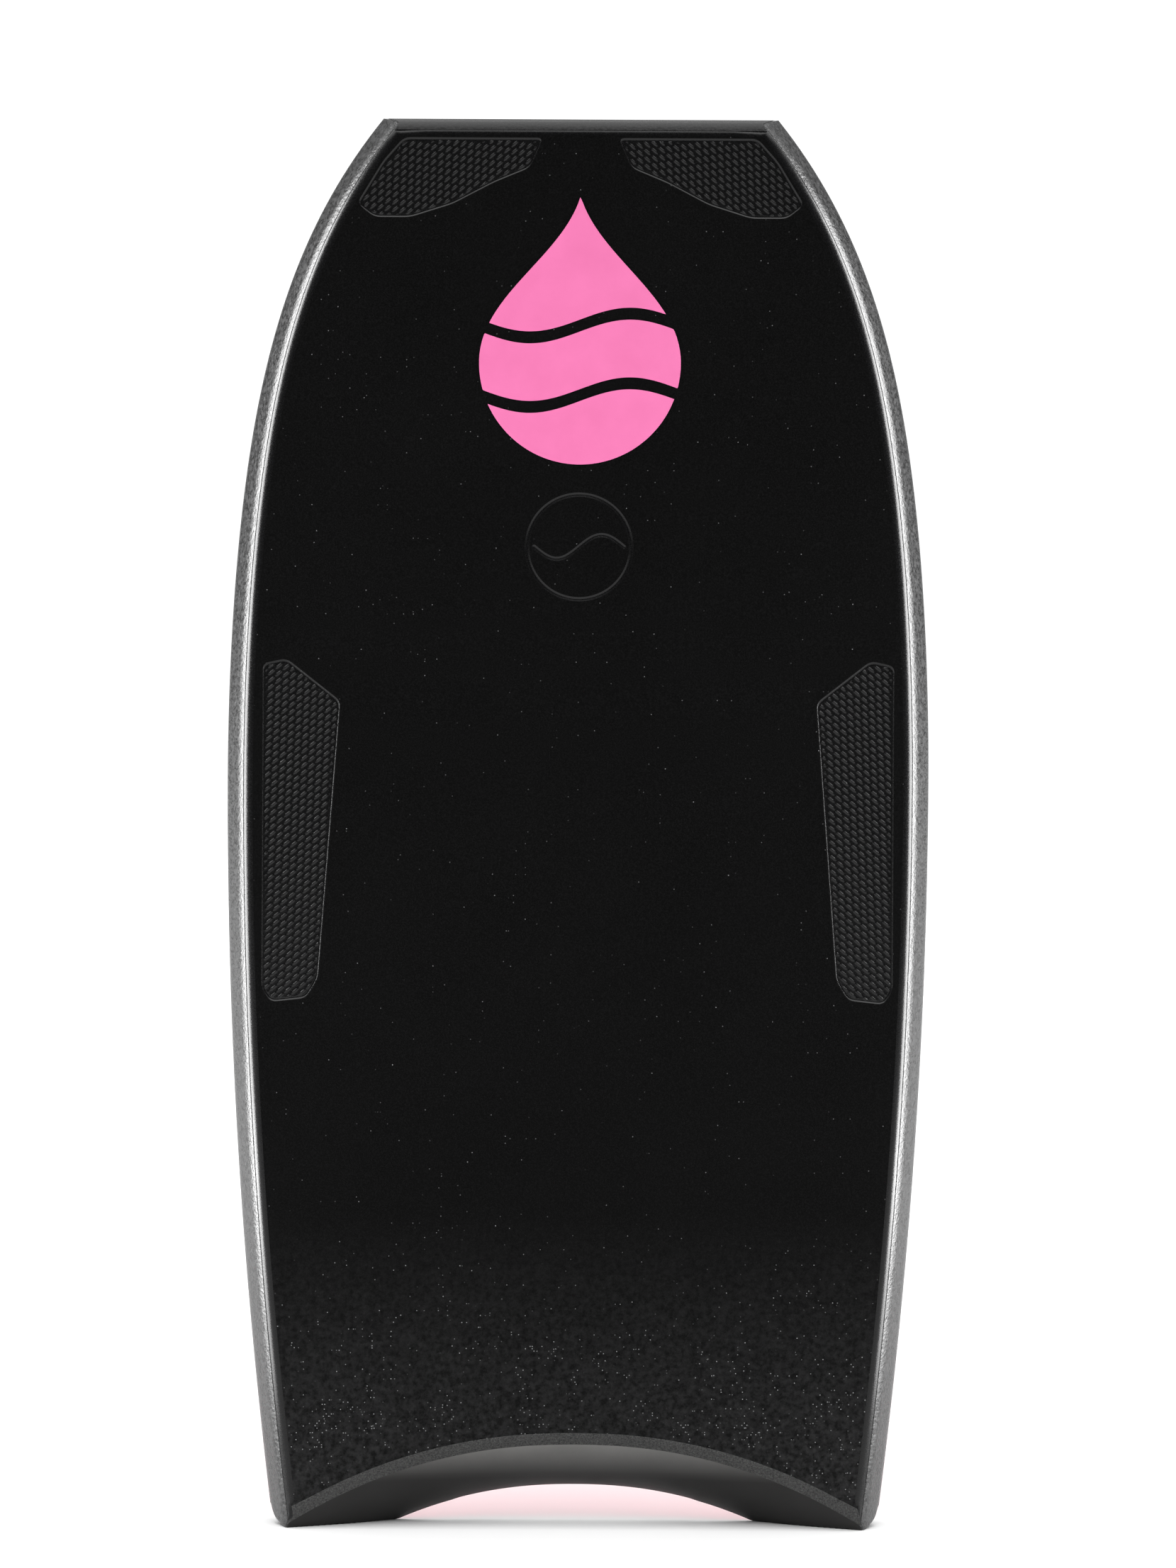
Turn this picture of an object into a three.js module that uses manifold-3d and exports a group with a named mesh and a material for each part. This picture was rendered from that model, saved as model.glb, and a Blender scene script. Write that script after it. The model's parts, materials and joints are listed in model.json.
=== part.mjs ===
// A bodyboard standing on its two tail pegs: foam core with a stringer tube, skinned deck and slick,
// doubled rails, nose and tail strips, and heat-laminated emblem films.
// Millimetres. +Z runs from the tail to the nose, the deck faces -Y and the slick faces +Y.
import * as THREE from 'three';
import { mergeVertices } from 'three/addons/utils/BufferGeometryUtils.js';
import Module from 'manifold-3d';

const wasm = await Module();
wasm.setup();

// Overall board
const LENGTH = 1067;
const THICKNESS = 50;
const WIDE_HALF = 269; // half of the widest station
const WIDE_Z = 570; // height of the widest station
const NOSE_DROP = 118.4; // how much the half width falls from the widest station to the nose
const NOSE_ROUND_SHARE = 0.51; // share of that fall taken by the gentle, parabolic part
const NOSE_FALL_POWER = 5; // the rest falls off this steeply
const TAIL_DROP = 37.3; // how much the half width falls from the widest station to the tail
const DECK_Y = -THICKNESS / 2;
const SLICK_Y = THICKNESS / 2;
const CHINE_Y = 4; // the widest line of the rails, nearer to the slick

// Rocker and taper: the nose curves towards the deck, and the foam thins at both ends
const NOSE_ROCKER = 38;
const ROCKER_START_Z = 555;
const TAIL_ROCKER = 3;
const TAIL_ROCKER_END_Z = 240;
const NOSE_TAPER = 0.13;
const NOSE_TAPER_START_Z = 700;
const TAIL_TAPER = 0.06;
const TAIL_TAPER_END_Z = 260;

// Rails lean in from the chine by these much at the deck and at the slick
const RAIL_LEAN_DECK = 13;
const RAIL_LEAN_SLICK = 9;
const NOSE_LEAN_DECK = 8.5;
const NOSE_LEAN_SLICK = 6;

// Layers
const GAP = 0.3; // glue line between neighbouring pieces
const STRIP = 4; // rail, nose and tail strips
const DECK_SKIN = 5;
const SLICK_SHEET = 0.8;
const SLICK_BACKING = 3.6;
const SLICK_MESH = 0.6;
const FILM = 0.4;

// Crescent tail: one arch at the deck and a lower one at the slick, with a slanted face between
const DECK_ARCH_RISE = 72;
const DECK_ARCH_HALF = 237;
const SLICK_ARCH_RISE = 27;
const SLICK_ARCH_HALF = 136;
const ARCH_POWER = 2.2;
const TAIL_BULGE = 8; // how far the slanted face swells downwards, halfway between the arches
const TAIL_HALF = 231;
const TAIL_CORNER_RADIUS = 14;

// Channels in the slick, which run out of the tail and fade towards the middle
const CHANNEL_CENTRE_X = 118;
const CHANNEL_FLOOR_HALF = 22;
const CHANNEL_WALL = 9;
const CHANNEL_DEPTH = 2.6;
const CHANNEL_END_Z = 400;
const CHANNEL_FULL_Z = 230;

// Stringer
const TUBE_RADIUS = 4.75;
const TUBE_BORE_RADIUS = 3.75;
const STRINGER_LOW_Z = 105;
const STRINGER_HIGH_Z = 690;
const STRINGER_Y = 1.5;
const END_PLUG_CAP = 3;
const END_PLUG_SHANK = 12;

// Deck details
const GRIP_DEPTH = 0.8;
const MARK_GROOVE = 2.4;
const MARK_GROOVE_DEPTH = 0.7;
const MARK_Z = 744;
const MARK_RADIUS = 41;
const MARK_WAVE = 9; // amplitude of the wave across the ring
const EMBLEM_LOW_Z = 806;
const EMBLEM_HIGH_Z = 1006;
const EMBLEM_HALF = 76;
const EMBLEM_WAVE = 9; // amplitude of the two wavy gaps
const EMBLEM_GAP = 9; // height of the two wavy gaps
const EMBLEM_GAP_RISES = [52, 104]; // heights of the gaps above the emblem's lowest point

// Half the room that the cutting solids reach to each side
const CUT_REACH = 300;

// Stations along the board
const STATIONS = 40;
const ARCH_COLUMNS = 36;
const ARCH_ROWS = 7; // five across the swollen face and one past each side of it
const BELOW_TAIL = -12; // layers and strips start here and are then cut to the tail's end face
const LAST_STATION_Z = 1046; // the last station before the nose end of each piece

const clamp01 = (value) => Math.min(1, Math.max(0, value));

function halfWidth(z) {
  if (z < WIDE_Z) {
    return WIDE_HALF - TAIL_DROP * ((WIDE_Z - z) / WIDE_Z) ** 2;
  }
  const t = (z - WIDE_Z) / (LENGTH - WIDE_Z);
  const fall = NOSE_ROUND_SHARE * t ** 2 + (1 - NOSE_ROUND_SHARE) * t ** NOSE_FALL_POWER;
  return WIDE_HALF - NOSE_DROP * fall;
}

// How far a millimetre measured square to the outline reaches sideways
function sideStretch(z) {
  const slope = halfWidth(z + 0.5) - halfWidth(z - 0.5);
  return Math.hypot(1, slope);
}

// How far a level of the rails stands in from the chine, given the lean at the deck and at the slick
function lean(y, atDeck, atSlick) {
  if (y < CHINE_Y) {
    return (atDeck * (CHINE_Y - y)) / (CHINE_Y - DECK_Y);
  }
  return (atSlick * (y - CHINE_Y)) / (SLICK_Y - CHINE_Y);
}

const railInset = (y) => lean(y, RAIL_LEAN_DECK, RAIL_LEAN_SLICK);
const noseInset = (y) => lean(y, NOSE_LEAN_DECK, NOSE_LEAN_SLICK);

// The y of a level of the flat board once the board is curved and thinned
function curvedY(y, z) {
  const towardsNose = Math.max(0, (z - ROCKER_START_Z) / (LENGTH - ROCKER_START_Z));
  const towardsTail = Math.max(0, (TAIL_ROCKER_END_Z - z) / TAIL_ROCKER_END_Z);
  const rocker = NOSE_ROCKER * towardsNose ** 2 + TAIL_ROCKER * towardsTail ** 2;
  const noseThin = Math.max(0, (z - NOSE_TAPER_START_Z) / (LENGTH - NOSE_TAPER_START_Z));
  const tailThin = Math.max(0, (TAIL_TAPER_END_Z - z) / TAIL_TAPER_END_Z);
  const fullness = 1 - NOSE_TAPER * noseThin ** 2 - TAIL_TAPER * tailThin ** 2;
  return SLICK_Y - (SLICK_Y - y) * fullness - rocker;
}

// A box whose every grid point is moved to place(u, v, s), with u, v and s each running from 0 to 1
function mappedBox(columns, levels, stations, place) {
  const geometry = new THREE.BoxGeometry(1, 1, 1, columns, levels, stations);
  const position = geometry.getAttribute('position');
  for (let i = 0; i < position.count; i += 1) {
    const u = Math.round((position.getX(i) + 0.5) * columns) / columns;
    const v = Math.round((position.getY(i) + 0.5) * levels) / levels;
    const s = Math.round((position.getZ(i) + 0.5) * stations) / stations;
    position.setXYZ(i, ...place(u, v, s));
  }
  return geometry;
}

// The geometry as a manifold solid
function solid(geometry) {
  const bare = geometry.clone();
  bare.deleteAttribute('normal');
  bare.deleteAttribute('uv');
  const merged = mergeVertices(bare, 1e-4);
  const vertProperties = new Float32Array(merged.getAttribute('position').array);
  const triVerts = new Uint32Array(merged.index.array);
  return new wasm.Manifold(new wasm.Mesh({ numProp: 3, vertProperties, triVerts }));
}

// The manifold solid as a geometry with flat-shaded normals
function geometryOf(manifold) {
  const mesh = manifold.getMesh();
  const indexed = new THREE.BufferGeometry();
  indexed.setAttribute('position', new THREE.BufferAttribute(mesh.vertProperties, 3));
  indexed.setIndex(new THREE.BufferAttribute(mesh.triVerts, 1));
  const geometry = indexed.toNonIndexed();
  geometry.computeVertexNormals();
  return geometry;
}

// The value at t of a list of levels that t runs through evenly
function levelAt(levels, t) {
  const place = t * (levels.length - 1);
  const index = Math.min(levels.length - 2, Math.floor(place));
  return levels[index] + (levels[index + 1] - levels[index]) * (place - index);
}

// The height of a station, at the same places for every piece except for the last one, which is its top
function stationZ(s, top) {
  const shared = (s * STATIONS) / (STATIONS - 1);
  return s === 1 ? top : BELOW_TAIL + shared * (LAST_STATION_Z - BELOW_TAIL);
}

// A full-width layer of the board between the given levels, standing in by inset at the sides and nose
function layer(levels, inset) {
  return mappedBox(1, levels.length - 1, STATIONS, (u, v, s) => {
    const level = levelAt(levels, v);
    const top = LENGTH - noseInset(level) - inset;
    const z = stationZ(s, top);
    const half = halfWidth(z) - (railInset(level) + inset) * sideStretch(z);
    return [(2 * u - 1) * half, curvedY(level, z), z];
  });
}

// A strip along one side between two insets from the rail's outer face; side is -1 or 1
function sideStrip(side, levels, outer, inner, noseGap) {
  return mappedBox(1, levels.length - 1, STATIONS, (u, v, s) => {
    const level = levelAt(levels, v);
    const top = LENGTH - noseInset(level) - noseGap;
    const z = stationZ(s, top);
    const across = side > 0 ? 1 - u : u;
    const inset = railInset(level) + outer + (inner - outer) * across;
    return [side * (halfWidth(z) - inset * sideStretch(z)), curvedY(level, z), z];
  });
}

// A strip across the nose between two insets from the nose's outer face
function noseStrip(levels, outer, inner, sideInset) {
  return mappedBox(1, levels.length - 1, 1, (u, v, s) => {
    const level = levelAt(levels, v);
    const z = LENGTH - noseInset(level) - inner + s * (inner - outer);
    const half = halfWidth(z) - (railInset(level) + sideInset) * sideStretch(z);
    return [(2 * u - 1) * half, curvedY(level, z), z];
  });
}

const archHeight = (x, rise, half) => rise * (1 - (Math.abs(x) / half) ** ARCH_POWER);

// The height of the tail's end face, at a share of the way from the deck to the slick
function tailFace(x, share) {
  const deckSide = archHeight(x, DECK_ARCH_RISE, DECK_ARCH_HALF);
  const slickSide = archHeight(x, SLICK_ARCH_RISE, SLICK_ARCH_HALF);
  const swell = TAIL_BULGE * 4 * clamp01(share) * (1 - clamp01(share));
  return deckSide + (slickSide - deckSide) * share - swell;
}

// Everything below the tail's end face, with the face raised by lift
function belowTail(lift) {
  const depth = 60;
  const margin = 0.2; // how far the cut goes past the deck and the slick, as a share of the thickness
  const deckY = curvedY(DECK_Y, 0);
  const slickY = curvedY(SLICK_Y, 0);
  const arch = mappedBox(ARCH_COLUMNS, ARCH_ROWS, 1, (u, v, s) => {
    const x = (2 * u - 1) * CUT_REACH;
    const share = v * (1 + 2 * margin) - margin;
    const face = Math.max(tailFace(x, share), -depth / 2);
    return [x, deckY + (slickY - deckY) * share, s === 1 ? face + lift : -depth];
  });
  const floor = new THREE.BoxGeometry(2 * CUT_REACH, 4 * THICKNESS, depth);
  floor.translate(0, 0, lift - depth / 2);
  return solid(arch).add(solid(floor));
}

const tailFaceCut = belowTail(0);
const tailStripCut = belowTail(STRIP);
const tailCoreCut = belowTail(STRIP + GAP);

// A flat outline in x and z, extruded through the whole thickness of the board
function throughPrism(shape, curveSegments) {
  const depth = 6 * THICKNESS;
  const geometry = new THREE.ExtrudeGeometry(shape, { depth, bevelEnabled: false, curveSegments });
  geometry.rotateX(Math.PI / 2);
  geometry.translate(0, depth / 2, 0);
  return solid(geometry);
}

// The room inside the tail's two rounded outer corners
function cornerRounding() {
  const radius = TAIL_CORNER_RADIUS;
  const centreX = TAIL_HALF - radius;
  const shape = new THREE.Shape();
  shape.moveTo(-CUT_REACH, 2 * LENGTH);
  shape.lineTo(-CUT_REACH, radius);
  shape.lineTo(-TAIL_HALF, radius);
  shape.absarc(-centreX, radius, radius, Math.PI, 1.5 * Math.PI, false);
  shape.absarc(centreX, radius, radius, 1.5 * Math.PI, 2 * Math.PI, false);
  shape.lineTo(CUT_REACH, radius);
  shape.lineTo(CUT_REACH, 2 * LENGTH);
  return throughPrism(shape, 6);
}

const corners = cornerRounding();

// Levels through the thickness
const DECK_SKIN_LEVELS = [DECK_Y, DECK_Y + DECK_SKIN];
const SHEET_LEVELS = [SLICK_Y - SLICK_SHEET, SLICK_Y];
const BACKING_TOP_Y = SHEET_LEVELS[0] - GAP;
const BACKING_LEVELS = [BACKING_TOP_Y - SLICK_BACKING, BACKING_TOP_Y];
const MESH_TOP_Y = BACKING_LEVELS[0] - GAP;
const MESH_LEVELS = [MESH_TOP_Y - SLICK_MESH, MESH_TOP_Y];
const CORE_DECK_Y = DECK_SKIN_LEVELS[1] + GAP;
const CORE_SLICK_Y = MESH_LEVELS[0] - GAP;
const CORE_LEVELS = [
  CORE_DECK_Y,
  (CORE_DECK_Y + CHINE_Y) / 2,
  CHINE_Y,
  (CORE_SLICK_Y + CHINE_Y) / 2,
  CORE_SLICK_Y,
];
const TAIL_STRIP_LEVELS = [...CORE_LEVELS.slice(0, 4), SLICK_Y];
const UPPER_RAIL_LEVELS = [DECK_Y, (DECK_Y + CHINE_Y) / 2, CHINE_Y - GAP / 2];
const LOWER_RAIL_LEVELS = [CHINE_Y + GAP / 2, SLICK_Y];
const SKIN_INSET = STRIP + GAP;
const CORE_INSET = 2 * (STRIP + GAP);

const BORE_RADIUS = TUBE_RADIUS + GAP;
const ROUND_SIDES = 24;

// A round bar on the stringer's axis
function roundBar(radius, low, high) {
  const geometry = new THREE.CylinderGeometry(radius, radius, high - low, ROUND_SIDES);
  geometry.rotateX(Math.PI / 2);
  geometry.translate(0, STRINGER_Y, (low + high) / 2);
  return geometry;
}

// The foam core, bored from the tail for the stringer
function coreShape() {
  const blank = solid(layer(CORE_LEVELS, CORE_INSET));
  const bore = solid(roundBar(BORE_RADIUS, BELOW_TAIL, STRINGER_HIGH_Z + GAP));
  return geometryOf(blank.subtract(tailCoreCut).subtract(bore));
}

// The dowel that closes the bore behind the stringer
function borePlugShape() {
  const dowel = solid(roundBar(TUBE_RADIUS, 0, STRINGER_LOW_Z - GAP));
  return geometryOf(dowel.subtract(tailCoreCut));
}

const TUBE_LOW_Z = STRINGER_LOW_Z + END_PLUG_CAP + GAP;
const TUBE_HIGH_Z = STRINGER_HIGH_Z - END_PLUG_CAP - GAP;

function stringerTubeShape() {
  const outside = solid(roundBar(TUBE_RADIUS, TUBE_LOW_Z, TUBE_HIGH_Z));
  const inside = solid(roundBar(TUBE_BORE_RADIUS, TUBE_LOW_Z - 1, TUBE_HIGH_Z + 1));
  return geometryOf(outside.subtract(inside));
}

// An end plug: a cap as wide as the tube and a shank inside it; end is -1 at the tail, 1 at the nose
function endPlugShape(end) {
  const points = [
    new THREE.Vector2(0, 0),
    new THREE.Vector2(TUBE_RADIUS, 0),
    new THREE.Vector2(TUBE_RADIUS, END_PLUG_CAP),
    new THREE.Vector2(TUBE_BORE_RADIUS - GAP, END_PLUG_CAP),
    new THREE.Vector2(TUBE_BORE_RADIUS - GAP, END_PLUG_CAP + END_PLUG_SHANK),
    new THREE.Vector2(0, END_PLUG_CAP + END_PLUG_SHANK),
  ];
  const geometry = new THREE.LatheGeometry(points, ROUND_SIDES);
  geometry.rotateX(end > 0 ? -Math.PI / 2 : Math.PI / 2);
  geometry.translate(0, STRINGER_Y, end > 0 ? STRINGER_HIGH_Z : STRINGER_LOW_Z);
  return geometry;
}

// Grip panels pressed into the deck; side is -1 or 1, and an outline runs round one panel
function gripOutline(side, points) {
  const shape = new THREE.Shape();
  points.forEach(([x, z], index) => {
    if (index === 0) {
      shape.moveTo(side * x, z);
    } else {
      shape.lineTo(side * x, z);
    }
  });
  return shape;
}

const ELBOW_GRIP = [[239, 655], [221, 659], [180, 627], [196, 417], [205, 402], [232, 399], [239, 409]];
const NOSE_GRIP = [
  [134, 1050], [28, 1050], [38, 1027], [65, 1016], [96, 1000], [128, 990], [156, 990],
  [169, 1000], [149, 1032],
];

// A thin skin at the deck face, for cutting shallow recesses that follow the deck's curve
function deckRecess(prism, depth) {
  const above = 1.5;
  return solid(layer([DECK_Y - above, DECK_Y + depth], SKIN_INSET - 1)).intersect(prism);
}

// The pressed mark: a ring with one wave across it
function markGrooves() {
  const ring = new THREE.Shape();
  ring.absarc(0, MARK_Z, MARK_RADIUS, 0, 2 * Math.PI, false);
  const hole = new THREE.Path();
  hole.absarc(0, MARK_Z, MARK_RADIUS - MARK_GROOVE, 0, 2 * Math.PI, true);
  ring.holes.push(hole);
  const wave = waveBand(MARK_Z, MARK_RADIUS - MARK_GROOVE / 2, MARK_GROOVE, MARK_WAVE, 1);
  return throughPrism(ring, 20).add(throughPrism(wave, 1));
}

// A band of even height that follows a sine wave across the board
function waveBand(z, half, height, amplitude, waves) {
  const steps = 20;
  const crest = (x) => z + amplitude * Math.sin((Math.PI * waves * x) / half);
  const shape = new THREE.Shape();
  shape.moveTo(-half, crest(-half) - height / 2);
  for (let i = 1; i <= steps; i += 1) {
    const x = -half + (2 * half * i) / steps;
    shape.lineTo(x, crest(x) - height / 2);
  }
  for (let i = steps; i >= 0; i -= 1) {
    const x = -half + (2 * half * i) / steps;
    shape.lineTo(x, crest(x) + height / 2);
  }
  return shape;
}

function deckSkinShape() {
  let skin = solid(layer(DECK_SKIN_LEVELS, SKIN_INSET)).subtract(tailFaceCut);
  for (const side of [-1, 1]) {
    for (const outline of [ELBOW_GRIP, NOSE_GRIP]) {
      const panel = throughPrism(gripOutline(side, outline), 1);
      skin = skin.subtract(deckRecess(panel, GRIP_DEPTH));
    }
  }
  skin = skin.subtract(deckRecess(markGrooves(), MARK_GROOVE_DEPTH));
  return geometryOf(skin);
}

// How deep the slick is pressed in at a place
function channelDepth(x, z) {
  const fromFloor = Math.abs(Math.abs(x) - CHANNEL_CENTRE_X) - CHANNEL_FLOOR_HALF;
  const across = 1 - clamp01(fromFloor / CHANNEL_WALL);
  const along = clamp01((CHANNEL_END_Z - z) / (CHANNEL_END_Z - CHANNEL_FULL_Z));
  return CHANNEL_DEPTH * across * along;
}

// A layer of the slick with the channels pressed in, by the factor given for each of its levels
function slickLayer(levels, pressed) {
  const inner = CHANNEL_CENTRE_X - CHANNEL_FLOOR_HALF;
  const outer = CHANNEL_CENTRE_X + CHANNEL_FLOOR_HALF;
  const columns = [inner - CHANNEL_WALL, inner, outer, outer + CHANNEL_WALL];
  const lines = [...columns.map((x) => -x).reverse(), ...columns];
  return mappedBox(lines.length + 1, levels.length - 1, STATIONS, (u, v, s) => {
    const level = levelAt(levels, v);
    const top = LENGTH - noseInset(level) - SKIN_INSET;
    const z = stationZ(s, top);
    const half = halfWidth(z) - (railInset(level) + SKIN_INSET) * sideStretch(z);
    const shrink = Math.min(1, half / (outer + 2 * CHANNEL_WALL));
    const x = levelAt([-half, ...lines.map((line) => line * shrink), half], u);
    const press = levelAt(pressed, v) * channelDepth(x, z);
    return [x, curvedY(level, z) - press, z];
  });
}

function slickShape(levels, pressed) {
  return geometryOf(solid(slickLayer(levels, pressed)).subtract(tailCoreCut));
}

function slickMeshShape() {
  return geometryOf(solid(layer(MESH_LEVELS, SKIN_INSET)).subtract(tailCoreCut));
}

// An outer rail strip, ending flush with the tail strip
function railShape(side, levels) {
  const strip = solid(sideStrip(side, levels, 0, STRIP, 0));
  return geometryOf(strip.subtract(tailFaceCut).intersect(corners));
}

function innerRailShape(side) {
  const strip = solid(sideStrip(side, CORE_LEVELS, SKIN_INSET, SKIN_INSET + STRIP, SKIN_INSET));
  return geometryOf(strip.subtract(tailCoreCut));
}

// The strip over the tail's end face, from the deck skin to the slick, with the channels run through it
function tailStripShape() {
  const block = solid(slickLayer(TAIL_STRIP_LEVELS, [0, 0, 0, 0, 1]));
  return geometryOf(block.intersect(tailStripCut).subtract(tailFaceCut).intersect(corners));
}

// The emblem: a water drop, cut by two wavy gaps into three films
function dropOutline() {
  const centreZ = EMBLEM_LOW_Z + EMBLEM_HALF;
  const shape = new THREE.Shape();
  shape.moveTo(0, EMBLEM_HIGH_Z);
  shape.bezierCurveTo(14, EMBLEM_HIGH_Z - 46, EMBLEM_HALF, centreZ + 50, EMBLEM_HALF, centreZ);
  shape.absarc(0, centreZ, EMBLEM_HALF, 0, -Math.PI, true);
  shape.bezierCurveTo(-EMBLEM_HALF, centreZ + 50, -14, EMBLEM_HIGH_Z - 46, 0, EMBLEM_HIGH_Z);
  return shape;
}

function emblemShapes() {
  const skin = solid(layer([DECK_Y - GAP - FILM, DECK_Y - GAP], SKIN_INSET));
  let drop = skin.intersect(throughPrism(dropOutline(), 12));
  for (const rise of EMBLEM_GAP_RISES) {
    const band = waveBand(EMBLEM_LOW_Z + rise, 2 * EMBLEM_HALF, EMBLEM_GAP, EMBLEM_WAVE, 2);
    drop = drop.subtract(throughPrism(band, 1));
  }
  const pieces = drop.decompose();
  pieces.sort((a, b) => a.boundingBox().min[2] - b.boundingBox().min[2]);
  return pieces.map(geometryOf);
}

// Materials
const foamWhite = { color: 0xe9e6dc, roughness: 0.9, metalness: 0 };
const carbon = { color: 0x1c1d20, roughness: 0.35, metalness: 0.1 };
const plugPlastic = { color: 0x2b2b2b, roughness: 0.6, metalness: 0 };
const deckFoam = { color: 0x131313, roughness: 0.85, metalness: 0 };
const railFoam = { color: 0x333333, roughness: 0.55, metalness: 0 };
const tailFoam = { color: 0x4a4846, roughness: 0.6, metalness: 0 };
const slickPlastic = { color: 0xf07f94, roughness: 0.25, metalness: 0 };
const backingFoam = { color: 0x1c1a1a, roughness: 0.85, metalness: 0 };
const meshPlastic = { color: 0xd9d9d9, roughness: 0.7, metalness: 0 };
const pinkFilm = { color: 0xfd7bbb, roughness: 0.4, metalness: 0 };

// The origin is under the middle of the board's overall box, on the surface that the pegs stand on
const board = new THREE.Group();
board.position.y = -(curvedY(DECK_Y, LENGTH - NOSE_LEAN_DECK) + SLICK_Y) / 2;

function addPiece(name, geometry, finish) {
  const mesh = new THREE.Mesh(geometry, new THREE.MeshStandardMaterial(finish));
  mesh.name = name;
  board.add(mesh);
}

addPiece('core', coreShape(), foamWhite);
addPiece('bore_plug', borePlugShape(), foamWhite);
addPiece('stringer_tube', stringerTubeShape(), carbon);
addPiece('stringer_tail_plug', endPlugShape(-1), plugPlastic);
addPiece('stringer_nose_plug', endPlugShape(1), plugPlastic);
addPiece('deck_skin', deckSkinShape(), deckFoam);
addPiece('slick_mesh', slickMeshShape(), meshPlastic);
addPiece('slick_backing', slickShape(BACKING_LEVELS, [0, 1]), backingFoam);
addPiece('slick_sheet', slickShape(SHEET_LEVELS, [1, 1]), slickPlastic);
for (const [side, word] of [[-1, 'left'], [1, 'right']]) {
  addPiece(`inner_rail_${word}`, innerRailShape(side), railFoam);
  addPiece(`upper_rail_${word}`, railShape(side, UPPER_RAIL_LEVELS), railFoam);
  addPiece(`lower_rail_${word}`, railShape(side, LOWER_RAIL_LEVELS), railFoam);
}
addPiece('nose_inner_strip', noseStrip(CORE_LEVELS, SKIN_INSET, SKIN_INSET + STRIP, CORE_INSET), railFoam);
addPiece('nose_upper_strip', noseStrip(UPPER_RAIL_LEVELS, 0, STRIP, SKIN_INSET), railFoam);
addPiece('nose_lower_strip', noseStrip(LOWER_RAIL_LEVELS, 0, STRIP, SKIN_INSET), railFoam);
addPiece('tail_strip', tailStripShape(), tailFoam);
const films = emblemShapes();
['lower', 'middle', 'upper'].forEach((word, index) => {
  addPiece(`emblem_${word}`, films[index], pinkFilm);
});

export default board;
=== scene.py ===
"""The finished look of the bodyboard: its skins, rails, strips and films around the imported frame.

Metres. The board stands on its tail pegs, +Z runs from the tail to the nose, the deck faces -Y.
"""

import json
import math

import bpy
import numpy as np
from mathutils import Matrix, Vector
from mathutils.geometry import delaunay_2d_cdt

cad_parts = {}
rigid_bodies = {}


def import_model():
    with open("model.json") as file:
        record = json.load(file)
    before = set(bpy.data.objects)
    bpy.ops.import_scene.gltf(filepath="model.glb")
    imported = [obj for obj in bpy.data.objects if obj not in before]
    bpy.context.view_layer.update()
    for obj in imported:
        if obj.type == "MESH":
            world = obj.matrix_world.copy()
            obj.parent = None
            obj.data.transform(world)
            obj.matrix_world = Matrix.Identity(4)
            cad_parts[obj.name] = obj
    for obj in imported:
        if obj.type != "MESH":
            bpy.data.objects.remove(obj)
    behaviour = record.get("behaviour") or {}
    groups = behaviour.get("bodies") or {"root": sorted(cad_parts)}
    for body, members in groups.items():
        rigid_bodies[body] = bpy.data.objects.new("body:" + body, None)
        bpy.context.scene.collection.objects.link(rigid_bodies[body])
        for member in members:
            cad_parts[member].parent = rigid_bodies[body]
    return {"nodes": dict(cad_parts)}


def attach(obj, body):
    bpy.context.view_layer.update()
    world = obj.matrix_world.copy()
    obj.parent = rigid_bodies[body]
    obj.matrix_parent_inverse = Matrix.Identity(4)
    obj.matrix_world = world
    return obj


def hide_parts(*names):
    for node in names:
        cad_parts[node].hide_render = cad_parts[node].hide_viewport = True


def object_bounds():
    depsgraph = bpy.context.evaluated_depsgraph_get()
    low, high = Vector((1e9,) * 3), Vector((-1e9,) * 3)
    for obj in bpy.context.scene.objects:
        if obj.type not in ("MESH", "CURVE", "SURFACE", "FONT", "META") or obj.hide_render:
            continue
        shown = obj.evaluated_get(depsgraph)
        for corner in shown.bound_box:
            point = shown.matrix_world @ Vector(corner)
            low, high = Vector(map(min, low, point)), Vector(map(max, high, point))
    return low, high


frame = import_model()
cad_low, cad_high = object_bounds()

MM = 0.001

# Board, as in the frame. A level is a depth through the flat board, before its rocker and taper.
LENGTH = cad_high.z
THICKNESS = 50 * MM
DECK = -THICKNESS / 2
SLICK = THICKNESS / 2
CHINE = 4 * MM  # level of the widest line, where the upper and the lower strips meet
WIDE_HALF = 269 * MM
WIDE_Z = 570 * MM
NOSE_NARROWING = 118.4 * MM  # how much less each half is there than at the widest
NOSE_ROUND_SHARE = 0.51  # how much of that comes in a gentle curve, and the rest close to the nose
TAIL_NARROWING = 37.3 * MM
NOSE_ROCKER = 38 * MM  # how far the nose curves up on the deck's side
ROCKER_START_Z = 555 * MM
TAIL_ROCKER = 3 * MM
TAIL_ROCKER_END_Z = 240 * MM
NOSE_TAPER = 0.13  # share of the thickness that is lost there
NOSE_TAPER_START_Z = 700 * MM
TAIL_TAPER = 0.06
TAIL_TAPER_END_Z = 260 * MM
DEPTH_SHIFT = cad_high.y - SLICK  # the frame stands centred over its own middle
RAIL_LEANS = (13 * MM, 9 * MM)  # how far the rail stands in at the deck and at the slick
NOSE_LEANS = (8.5 * MM, 6 * MM)

GAP = 0.3 * MM  # glue line
STRIP = 4 * MM  # thickness of the outer strips
DECK_SKIN = 5 * MM
SHEET = 0.8 * MM
FILM = 0.4 * MM

DECK_ARCH = (72 * MM, 237 * MM)  # rise and half width of the crescent at the deck
SLICK_ARCH = (27 * MM, 136 * MM)
ARCH_POWER = 2.2
TAIL_BULGE = 8 * MM  # how far the crescent's slanted face swells downwards
TAIL_HALF = 231 * MM
TAIL_CORNER = 14 * MM

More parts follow.
